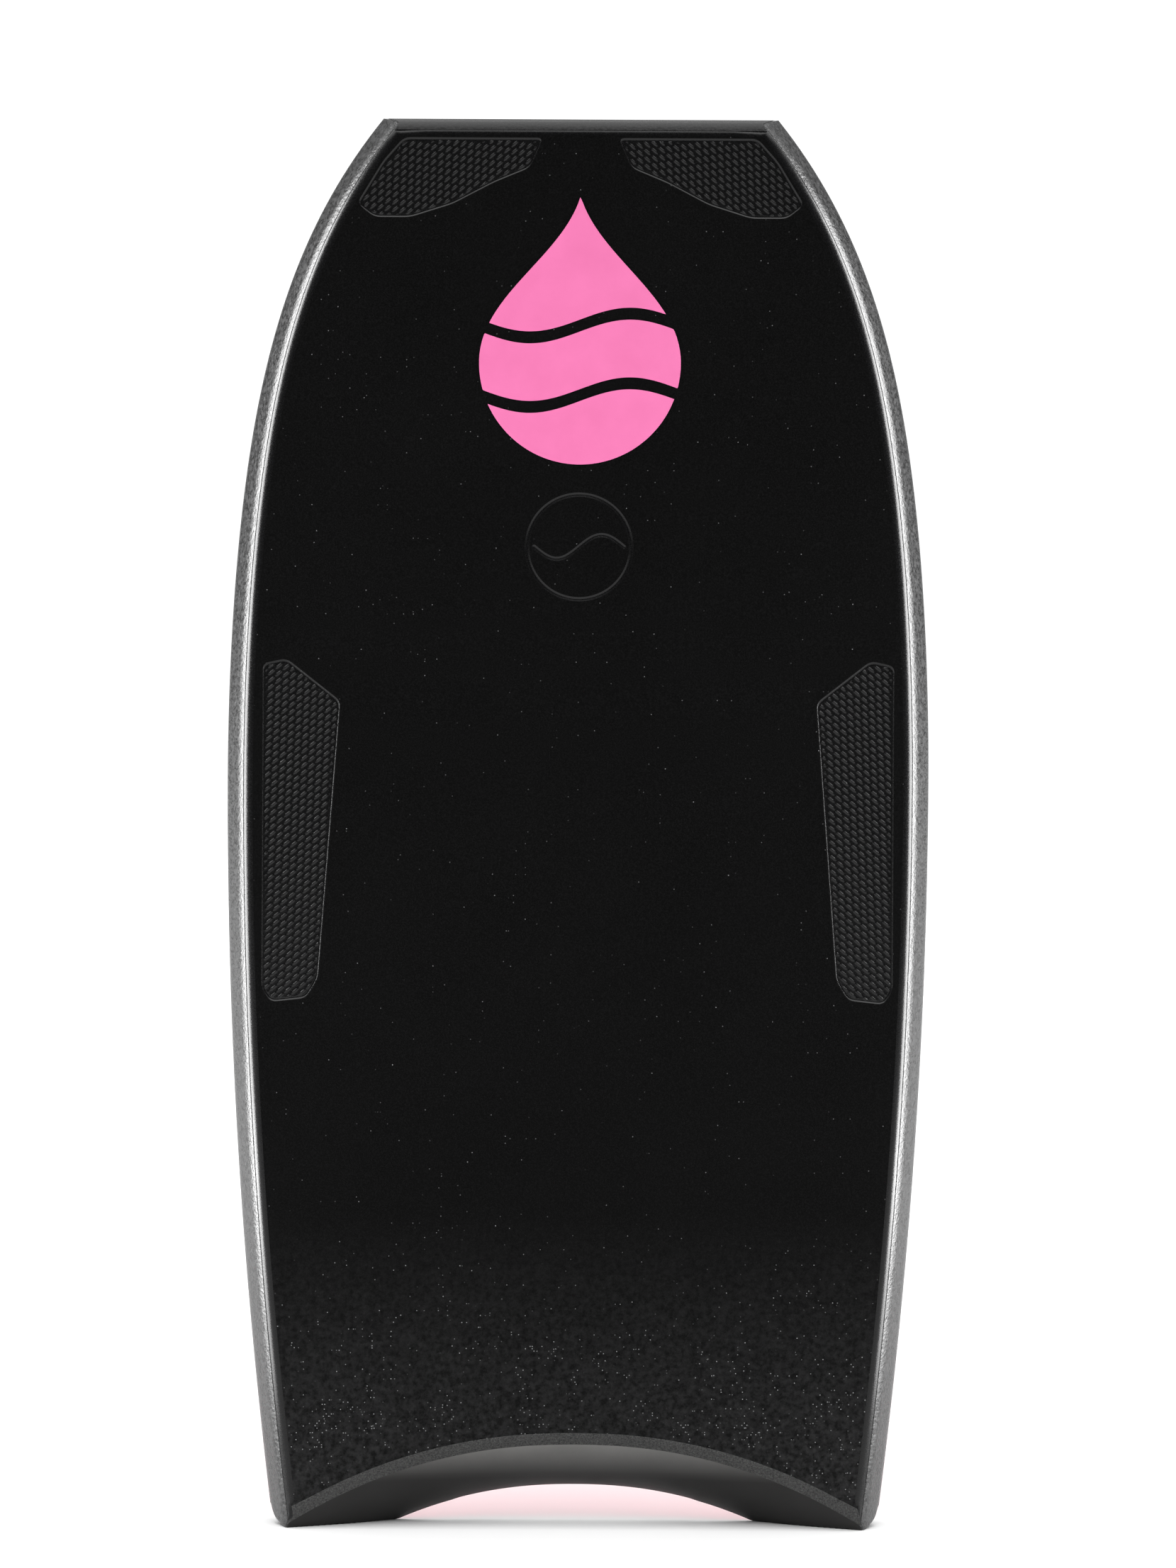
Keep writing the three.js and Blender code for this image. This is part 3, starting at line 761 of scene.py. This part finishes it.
def skin_edge_rings(top, sides):
    """Rings of the skin's edge from its back to its face: the cut wall, then the rounding over it."""
    count = len(top)
    bottom_level = DECK + DECK_SKIN
    bottom, _ = skin_outline(DECK_EDGE, bottom_level)
    down, across, bend = (eased(reach[sides]) for reach in (EDGE_DOWN, EDGE_ACROSS, EDGE_BEND))
    lean = inward_normals(top)
    corner = np.stack([top[:, 0], np.full(count, DECK), top[:, 1]], 1)
    base = np.stack([bottom[:, 0], np.full(count, bottom_level), bottom[:, 1]], 1)
    wall = base - corner
    start = corner + wall * down / DECK_SKIN
    inward = np.stack([lean[:, 0], np.zeros(count), lean[:, 1]], 1)
    rings = [base]
    for t in np.linspace(0, 1, EDGE_RINGS):
        turn = 2 * t * (1 - t) * (corner + inward * bend)
        rings.append((1 - t) ** 2 * start + turn + t**2 * (corner + inward * across))
    return bottom, rings


def add_grips(plan):
    """Adds the grip panels to the plan and returns their borders."""
    borders = []
    for side in (1, -1):
        for corners in (ELBOW_GRIP, NOSE_GRIP):
            shape = anticlockwise(np.array([(side * x * MM, z * MM) for x, z in corners]))
            border = rounded_polygon(shape, GRIP_CORNER, 1.3 * MM)
            lean = inward_normals(border)
            for inset, depth in GRIP_STEPS:
                loop = border + lean * inset * MM
                plan.add_loop(loop, depth * MM)
            plan.add(*knurl_points(loop, side))
            borders.append(border)
    return borders


def add_mark(plan):
    """Adds the pressed ring and wave to the plan; returns the outlines of the ring and of the wave."""
    for inset, depth in MARK_STEPS:
        plan.add_loop(ring_loop(MARK_RADIUS - inset * MM), depth * MM)
    half = MARK_GROOVE / 2
    for inset, depth in MARK_STEPS[:3]:
        plan.add_loop(wave_groove_loop(half - inset * MM), depth * MM)
    return ring_loop(MARK_RADIUS), ring_loop(MARK_RADIUS - MARK_GROOVE), wave_groove_loop(half)


def face_plan(face):
    """The face inside its outline, cut into triangles, and which of them are pressed."""
    plan = DeckPlan()
    plan.add_loop(face, 0.0)
    borders = add_grips(plan)
    ring_outside, ring_inside, wave = add_mark(plan)
    fill = fill_points(face, FACE_STEP)
    for loop in borders + [ring_outside]:
        fill = fill[~inside(fill, loop)]
    for loop in borders + [ring_outside, face]:
        fill = fill[distance_to(fill, loop) > FACE_MARGIN]
    plan.add(fill, 0.0)
    places, depths, triangles, source = plan.triangulate(face)
    middles = places[triangles].mean(1)
    pressed = inside(middles, wave) | (inside(middles, ring_outside) & ~inside(middles, ring_inside))
    for border in borders:
        pressed |= inside(middles, border)
    return places, depths, triangles, source, pressed


def join_plan(places, triangles, source, rim, first, start):
    """The triangles with their points counted from start, but from first for those on the rim."""
    index = np.arange(len(places)) + start
    for i, s in enumerate(source):
        if 0 <= s < rim:
            index[i] = first + s
    return [tuple(int(index[v]) for v in triangle) for triangle in triangles]


def edge_kinds(sides):
    """The material of each face of the skin's edge: cut foam on the wall and along the tail."""
    kinds = []
    for ring in range(EDGE_RINGS):
        along_tail = SKIN_CUT if ring < CUT_RINGS else SKIN_FACE
        elsewhere = SKIN_CUT if ring == 0 else SKIN_PRESSED
        kinds += [along_tail if side == ALONG_TAIL else elsewhere for side in sides]
    return kinds


def deck_skin(materials):
    top, sides = skin_outline(DECK_EDGE, DECK)
    count = len(top)
    bottom, rings = skin_edge_rings(top, sides)
    edge_points = np.concatenate(rings)
    faces = ring_faces(len(rings), count)
    kinds = edge_kinds(sides)

    places, depths, triangles, source, pressed = face_plan(rings[-1][:, (0, 2)])
    face_points = np.stack([places[:, 0], DECK + depths, places[:, 1]], 1)
    last_ring = len(edge_points) - count
    faces += join_plan(places, triangles, source, count, last_ring, len(edge_points))
    kinds += [SKIN_PRESSED if p else SKIN_FACE for p in pressed]

    places, triangles, source = back_plan(bottom)
    back_points = np.stack([places[:, 0], np.full(len(places), DECK + DECK_SKIN), places[:, 1]], 1)
    start = len(edge_points) + len(face_points)
    faces += join_plan(places, triangles[:, ::-1], source, count, 0, start)
    kinds += [SKIN_CUT] * len(triangles)

    points = curve(np.concatenate([edge_points, face_points, back_points]))
    points, faces = drop_unused(points, faces)
    return make_object("deck_skin_face", points, faces, materials, smooth_angle=60, kinds=kinds)


def fill_points(outline, step):
    low, high = outline.min(0), outline.max(0)
    x = np.arange(low[0], high[0], step)
    z = np.arange(low[1], high[1], step)
    grid = np.stack(np.meshgrid(x, z), -1).reshape(-1, 2)
    return grid[inside(grid, outline)]


def back_plan(outline):
    """Triangles over the hidden back of a skin, with enough points to follow its curve."""
    fill = fill_points(outline, BACK_STEP)
    fill = fill[distance_to(fill, outline) > BACK_MARGIN]
    plan = DeckPlan()
    plan.add_loop(outline, 0.0)
    plan.add(fill, 0.0)
    places, _, triangles, source = plan.triangulate(outline)
    return places, triangles, source


def curve(points):
    """Flat-board points (x, level, z) moved onto the curved board."""
    return np.stack([points[:, 0], curved_y(points[:, 1], points[:, 2]), points[:, 2]], 1)


def drop_unused(points, faces):
    used = sorted({v for face in faces for v in face})
    place = {v: i for i, v in enumerate(used)}
    return points[used], [tuple(place[v] for v in face) for face in faces]


# -------------------- rails and strips

SEAM = 0.12 * MM  # half the gap at the widest line, between an upper and a lower strip
LIP = 0.45 * MM  # rounding of the strips' lips at the seam
END_ROUND = 1.6 * MM  # rounding of the rails' ends at the tail
END_GAP = 0.05 * MM  # between the rails and the strips that end against them
RAIL_STATIONS = 150
NOSE_STATIONS = 60


def seam_lip(profile, level, towards):
    """Rounded lip of a strip, from its end at the seam on to its outer face."""
    tip = level + towards * LIP
    out = profile_inset(profile, level)
    return [
        (out + LIP, level),
        (out + 0.12 * MM, level + towards * 0.14 * MM),
        (profile_inset(profile, tip), tip),
    ]


def upper_section(profile, lean):
    """Closed section of the strip on the deck's side of the seam: (inset, level) points, its back last."""
    low = profile[0, 1] + 0.5 * MM
    high = CHINE - SEAM
    face = profile[profile[:, 1] <= high - 0.5 * MM]
    lip = seam_lip(profile, high, -1)[::-1]
    back = [(lean(high) + STRIP, high), (lean(low) + STRIP, low)]
    return np.concatenate([face, lip, back])


def lower_section(profile, lean):
    """The same for the strip on the slick's side."""
    low = CHINE + SEAM
    lip = seam_lip(profile, low, 1)
    face = profile[profile[:, 1] >= low + 0.5 * MM]
    back = [(lean(SLICK) + STRIP, SLICK), (lean(low) + STRIP, low)]
    return np.concatenate([lip, face, back])


def rail(name, side, section, material):
    """An outer rail strip, from its rounded end at the tail to the nose."""
    inset, level = section[:, 0], section[:, 1]
    top = LENGTH - profile_inset(NOSE_PROFILE, level)
    shrink = -inward_normals(section)
    shrink[-2:] = 0  # the back stays where it is
    turns = [math.radians(angle) for angle in (0, 25, 50, 72)]
    stations = [(0.0, END_ROUND * (1 - math.cos(a)), 1 - math.sin(a)) for a in turns]
    stations += [(share, END_ROUND * (1 - share), 0.0) for share in np.linspace(0, 1, RAIL_STATIONS)]
    rings = []
    for share, lift, pull in stations:
        ring_inset = inset + shrink[:, 0] * END_ROUND * pull
        ring_level = level + shrink[:, 1] * END_ROUND * pull
        z = np.full(len(section), share * LENGTH)
        for _ in range(6):
            x = half_width(z) - ring_inset * side_stretch(z)
            bottom = tail_end(x, ring_level)
            z = bottom + share * (top - bottom) + lift
        x = half_width(z) - ring_inset * side_stretch(z)
        ring = np.stack([side * x, curved_y(ring_level, z), z], 1)
        rings.append(ring if side > 0 else ring[::-1])
    return sweep(name, rings, material)


def half_between_rails(level, z):
    """Half the width between the rails' inner faces, less the end gap."""
    return half_width(z) - (rail_lean(level) + STRIP + END_GAP) * side_stretch(z)


def nose_strip(name, section, material):
    """An outer strip across the nose, between the rails."""
    inset, level = section[:, 0], section[:, 1]
    z = LENGTH - inset
    end = half_between_rails(level, z)
    y = curved_y(level, z)
    rings = [np.stack([end * share, y, z], 1) for share in np.linspace(-1, 1, NOSE_STATIONS)]
    return sweep(name, rings, material)


TAIL_STRIP_LOW = DECK + DECK_SKIN + 0.1 * MM
TAIL_COLUMNS = 260
TAIL_ROWS = 34


def tail_strip(material):
    """The strip over the tail's end, between the rails and from the deck skin to the slick's face."""
    share = 0.5 - 0.5 * np.cos(np.linspace(0, math.pi, TAIL_ROWS))[:, None]
    level = TAIL_STRIP_LOW + (SLICK - TAIL_STRIP_LOW) * share
    x = half_between_rails(level, 0.0) * np.linspace(-1, 1, TAIL_COLUMNS)
    level = np.broadcast_to(level, x.shape)
    outer_z = tail_end(x, level)
    grids = []
    for z in (outer_z, outer_z + STRIP):
        y = curved_y(level, z) - channel_press(x, z) * share**4
        grids.append(np.stack([x, y, z], -1)[::-1])
    return soften(slab("tail_strip_face", *grids, material), 0.5 * MM)


# -------------------- slick

SLICK_STATIONS = 170


def smooth_step(t):
    return t * t * (3 - 2 * t)


def channel_press(x, z):
    """How deep the slick is pressed in, with soft shoulders."""
    from_floor = (np.abs(np.abs(x) - CHANNEL_X) - CHANNEL_FLOOR_HALF) / CHANNEL_WALL
    across = 1 - np.clip(from_floor, 0, 1)
    along = np.clip((CHANNEL_END_Z - z) / (CHANNEL_END_Z - CHANNEL_FULL_Z), 0, 1)
    return CHANNEL_DEPTH * smooth_step(across) * smooth_step(along)


def slick_columns():
    """Distances of the sheet's columns from its middle, and how far each is on its way to the edge."""
    wall = np.linspace(0, CHANNEL_WALL, 9)
    inner = CHANNEL_X - CHANNEL_FLOOR_HALF
    outer = CHANNEL_X + CHANNEL_FLOOR_HALF
    floor = np.linspace(inner, outer, 6)[1:-1]
    channel = np.concatenate([inner - wall[::-1], floor, outer + wall])
    middle = np.linspace(-channel[0], channel[0], 16)[1:-1]
    out = np.linspace(0, 1, 8)[1:]
    rim = np.full(len(out), channel[-1])
    distances = np.concatenate([-rim, -channel[::-1], middle, channel, rim])
    inside_count = len(distances) - 2 * len(out)
    return distances, np.concatenate([out[::-1], np.zeros(inside_count), out])


def slick_face(level):
    """Grid of points over one face of the sheet, in rows from the tail to the nose."""
    distances, out = slick_columns()
    share = np.linspace(0, 1, SLICK_STATIONS)[:, None]
    top = LENGTH - nose_lean(level) - DECK_EDGE
    z = np.broadcast_to(share * LENGTH, (SLICK_STATIONS, len(distances)))
    for _ in range(6):
        half = half_width(z) - (rail_lean(level) + DECK_EDGE) * side_stretch(z)
        shrink = np.minimum(1, half / (CHANNEL_X + CHANNEL_FLOOR_HALF + 2 * CHANNEL_WALL))
        x = distances * shrink * (1 - out) + np.sign(distances) * half * out
        bottom = tail_end(x, level) + DECK_EDGE
        z = bottom + share * (top - bottom)
    return np.stack([x, curved_y(level, z) - channel_press(x, z), z], -1)


def slick_sheet(material):
    sheet = slab("slick_sheet_face", slick_face(SLICK - SHEET), slick_face(SLICK), material, smooth_angle=50)
    return soften(sheet, 0.3 * MM)


# -------------------- emblem

EMBLEM_LOW = 806 * MM
EMBLEM_HIGH = 1006 * MM
EMBLEM_HALF = 76 * MM
EMBLEM_CENTRE = EMBLEM_LOW + EMBLEM_HALF
EMBLEM_WAVE = 9 * MM
EMBLEM_GAP = 9 * MM
EMBLEM_RISES = (52 * MM, 104 * MM)  # of the two waves that cut the drop
FILM_COLUMNS = 121
FILM_ROWS = 26


def drop_top(x):
    """Height of the water drop's upper outline."""
    t = np.linspace(0, 1, 400)
    weights = ((1 - t) ** 3, 3 * t * (1 - t) ** 2, 3 * t**2 * (1 - t), t**3)
    handles = [
        (0, EMBLEM_HIGH),
        (14 * MM, EMBLEM_HIGH - 46 * MM),
        (EMBLEM_HALF, EMBLEM_CENTRE + 50 * MM),
        (EMBLEM_HALF, EMBLEM_CENTRE),
    ]
    px = sum(w * p[0] for w, p in zip(weights, handles))
    pz = sum(w * p[1] for w, p in zip(weights, handles))
    return np.interp(np.abs(x), px, pz)


def drop_bottom(x):
    return EMBLEM_CENTRE - np.sqrt(np.clip(EMBLEM_HALF**2 - x**2, 0, None))


def wave_line(x, rise, offset):
    return EMBLEM_LOW + rise + offset + EMBLEM_WAVE * np.sin(math.pi * x / EMBLEM_HALF)


def film(name, low, high, material):
    """One film between a lower and an upper outline, laid on the deck with its back just in the skin."""
    spread = np.linspace(-1, 1, 4001) * EMBLEM_HALF
    open_x = spread[high(spread) - low(spread) > 0.2 * MM]  # where the film is wide enough to cut
    middle = (open_x[0] + open_x[-1]) / 2
    half = (open_x[-1] - open_x[0]) / 2
    x = middle + half * np.sin(np.linspace(-1, 1, FILM_COLUMNS) * math.pi / 2)
    share = np.linspace(0, 1, FILM_ROWS)[:, None]
    z = low(x) + (high(x) - low(x)) * share
    x = np.broadcast_to(x, z.shape)
    base = DECK - 0.02 * MM
    front = np.stack([x, curved_y(base - FILM, z), z], -1)
    back = np.stack([x, curved_y(base + 0.1 * MM, z), z], -1)
    return soften(slab(name, front, back, material), 0.12 * MM)


def emblem(material):
    gap = EMBLEM_GAP / 2
    first, second = EMBLEM_RISES
    pieces = {
        "lower": (drop_bottom, lambda x: np.minimum(drop_top(x), wave_line(x, first, -gap))),
        "middle": (
            lambda x: np.maximum(drop_bottom(x), wave_line(x, first, gap)),
            lambda x: np.minimum(drop_top(x), wave_line(x, second, -gap)),
        ),
        "upper": (lambda x: np.maximum(drop_bottom(x), wave_line(x, second, gap)), drop_top),
    }
    for word, (low, high) in pieces.items():
        obj = film(f"emblem_film_{word}", low, high, material)
        stand_for(obj, "pink_film", f"emblem_{word}")


# -------------------- build

def build_outer_strips():
    """The rails' and the nose's outer strips, above and below the seam."""
    rail_material = rail_foam("rail_foam", (0.23, 0.38), 0.5)
    nose_material = rail_foam("nose_foam", (0.45, 0.6), 0.3)
    for part, section in (("upper", upper_section), ("lower", lower_section)):
        for side, word in ((-1, "left"), (1, "right")):
            node = f"{part}_rail_{word}"
            obj = rail(f"{node}_face", side, section(RAIL_PROFILE, rail_lean), rail_material)
            stand_for(soften(obj, 0.4 * MM), "rail_foam", node)
        node = f"nose_{part}_strip"
        obj = nose_strip(f"{node}_face", section(NOSE_PROFILE, nose_lean), nose_material)
        stand_for(soften(obj, 0.4 * MM), "rail_foam", node)


def build_board():
    skin_materials = [deck_foam(), cut_foam(), pressed_foam()]  # in the order of the SKIN_ places
    stand_for(deck_skin(skin_materials), "deck_foam", "deck_skin")
    build_outer_strips()
    stand_for(tail_strip(tail_foam()), "tail_foam", "tail_strip")
    stand_for(slick_sheet(slick_plastic()), "slick_plastic", "slick_sheet")
    emblem(pink_film())


def dress_frame_nodes():
    """Gives the hidden layers that stay as frame nodes their own finishes."""
    white = plain_foam("core_foam", (0.55, 0.53, 0.47), (0.83, 0.81, 0.74), 3 * MM)
    dark = plain_foam("backing_foam", 0.006, (0.016, 0.015, 0.015), 1 * MM)
    strip = plain_foam("inner_rail_foam", 0.015, 0.04, 1 * MM)
    tube, plug, net = carbon_tube(), plug_plastic(), net_plastic()
    finishes = {
        "core": white,
        "bore_plug": white,
        "slick_backing": dark,
        "slick_mesh": net,
        "inner_rail_left": strip,
        "inner_rail_right": strip,
        "nose_inner_strip": strip,
        "stringer_tube": tube,
        "stringer_tail_plug": plug,
        "stringer_nose_plug": plug,
    }
    for name, material in finishes.items():
        mesh = frame["nodes"][name].data
        mesh.materials.clear()
        mesh.materials.append(material)


# -------------------- studio

ROOM = 0.15  # brightness of the room at the sides and in front
BACKDROP = 1.15  # of the backdrop behind the board
KEY = 3.7  # of the diffuser overhead and in front
FILL = 1.5  # of the ceiling behind
FLOOR_REACH = 40
FLOOR_FRONT = -3.3
LIGHT_Y = -0.05  # the side lights stand just in front of the board
# Place (x and z), width, height and power of the soft box on each side, and of the small one low down
STRIP_LIGHT = (1.3, 0.84, 0.52, 1.64, 70)
KICKER_LIGHT = (0.62, 0.13, 0.2, 0.25, 1.8)
CAMERA_PLACE = (0.0076, -3.02, 0.565)
CAMERA_ROLL = math.radians(-0.2775)
CAMERA_LENS = 91.34


def floor():
    s = Shader("studio_floor")
    tone = s.noise(0.6, 2, 0.5)
    colour = s.ramp(tone, (0.3, 0.86), (0.7, 0.88))
    s.finish(colour, Roughness=0.9, Specular_IOR_Level=0.1)
    corners = [(x, y, 0) for y in (FLOOR_FRONT, FLOOR_REACH) for x in (-FLOOR_REACH, FLOOR_REACH)]
    obj = make_object("studio_floor", corners, [(0, 1, 3, 2)], s.material)


def board_collection():
    """Every piece of the board, for the lights that are flagged off the floor."""
    board = bpy.data.collections.new("board")
    for obj in bpy.context.scene.objects:
        if obj.type == "MESH":
            board.objects.link(obj)
    return board


def side_light(name, side, light, receivers):
    """A soft box beside the board, facing it, flagged so that it lights the receivers only."""
    out, z, width, height, power = light
    data = bpy.data.lights.new(name, "AREA")
    data.shape = "RECTANGLE"
    data.size = width
    data.size_y = height
    data.energy = power
    obj = bpy.data.objects.new(name, data)
    obj.location = (side * out, LIGHT_Y, z)
    obj.rotation_euler = Vector((-side, 0, 0)).to_track_quat("-Z", "Y").to_euler()
    obj.light_linking.receiver_collection = receivers
    bpy.context.scene.collection.objects.link(obj)


def sky_step(tree, value, start, end, low, high):
    """A smooth change from low to high while a value runs from start to end."""
    node = tree.nodes.new("ShaderNodeMapRange")
    node.interpolation_type = "SMOOTHSTEP"
    limits = {"From Min": start, "From Max": end, "To Min": low, "To Max": high}
    for name, limit in limits.items():
        node.inputs[name].default_value = limit
    tree.links.new(value, node.inputs["Value"])
    return node.outputs["Result"]


def sky_math(tree, operation, a, b):
    """Two values combined."""
    node = tree.nodes.new("ShaderNodeMath")
    node.operation = operation
    tree.links.new(a, node.inputs[0])
    tree.links.new(b, node.inputs[1])
    return node.outputs[0]


def sky():
    """The studio's surroundings, lit by direction, which show as plain white behind the board."""
    world = bpy.data.worlds.new("studio")
    world.use_nodes = True
    tree = world.node_tree
    split = tree.nodes.new("ShaderNodeSeparateXYZ")
    tree.links.new(tree.nodes.new("ShaderNodeTexCoord").outputs["Generated"], split.inputs[0])
    _, back, up = split.outputs
    horizon = sky_step(tree, back, 0.80, 0.95, ROOM, BACKDROP)
    overhead = sky_step(tree, up, 0.45, 0.85, 0, 1)
    ceiling = sky_math(tree, "MULTIPLY", overhead, sky_step(tree, back, -0.5, 0.5, KEY, FILL))
    light = sky_math(tree, "ADD", horizon, ceiling)
    seen_directly = tree.nodes.new("ShaderNodeLightPath").outputs["Is Camera Ray"]
    shown = sky_step(tree, seen_directly, 0, 1, 0, BACKDROP)
    background = tree.nodes["Background"]
    tree.links.new(sky_math(tree, "MAXIMUM", light, shown), background.inputs["Strength"])
    background.inputs["Color"].default_value = (1, 1, 1, 1)
    bpy.context.scene.world = world


def studio():
    sky()
    board = board_collection()
    for side, word in ((-1, "left"), (1, "right")):
        side_light(f"strip_{word}", side, STRIP_LIGHT, board)
        side_light(f"kicker_{word}", side, KICKER_LIGHT, board)
    floor()


def camera():
    data = bpy.data.cameras.new("camera")
    data.sensor_width = 36
    data.lens = CAMERA_LENS
    obj = bpy.data.objects.new("camera", data)
    obj.location = CAMERA_PLACE
    obj.rotation_euler = (math.radians(90), CAMERA_ROLL, 0)
    bpy.context.scene.collection.objects.link(obj)
    bpy.context.scene.camera = obj


bpy.context.scene.view_settings.view_transform = "Standard"
build_board()
dress_frame_nodes()
studio()
camera()

bpy.context.view_layer.update()
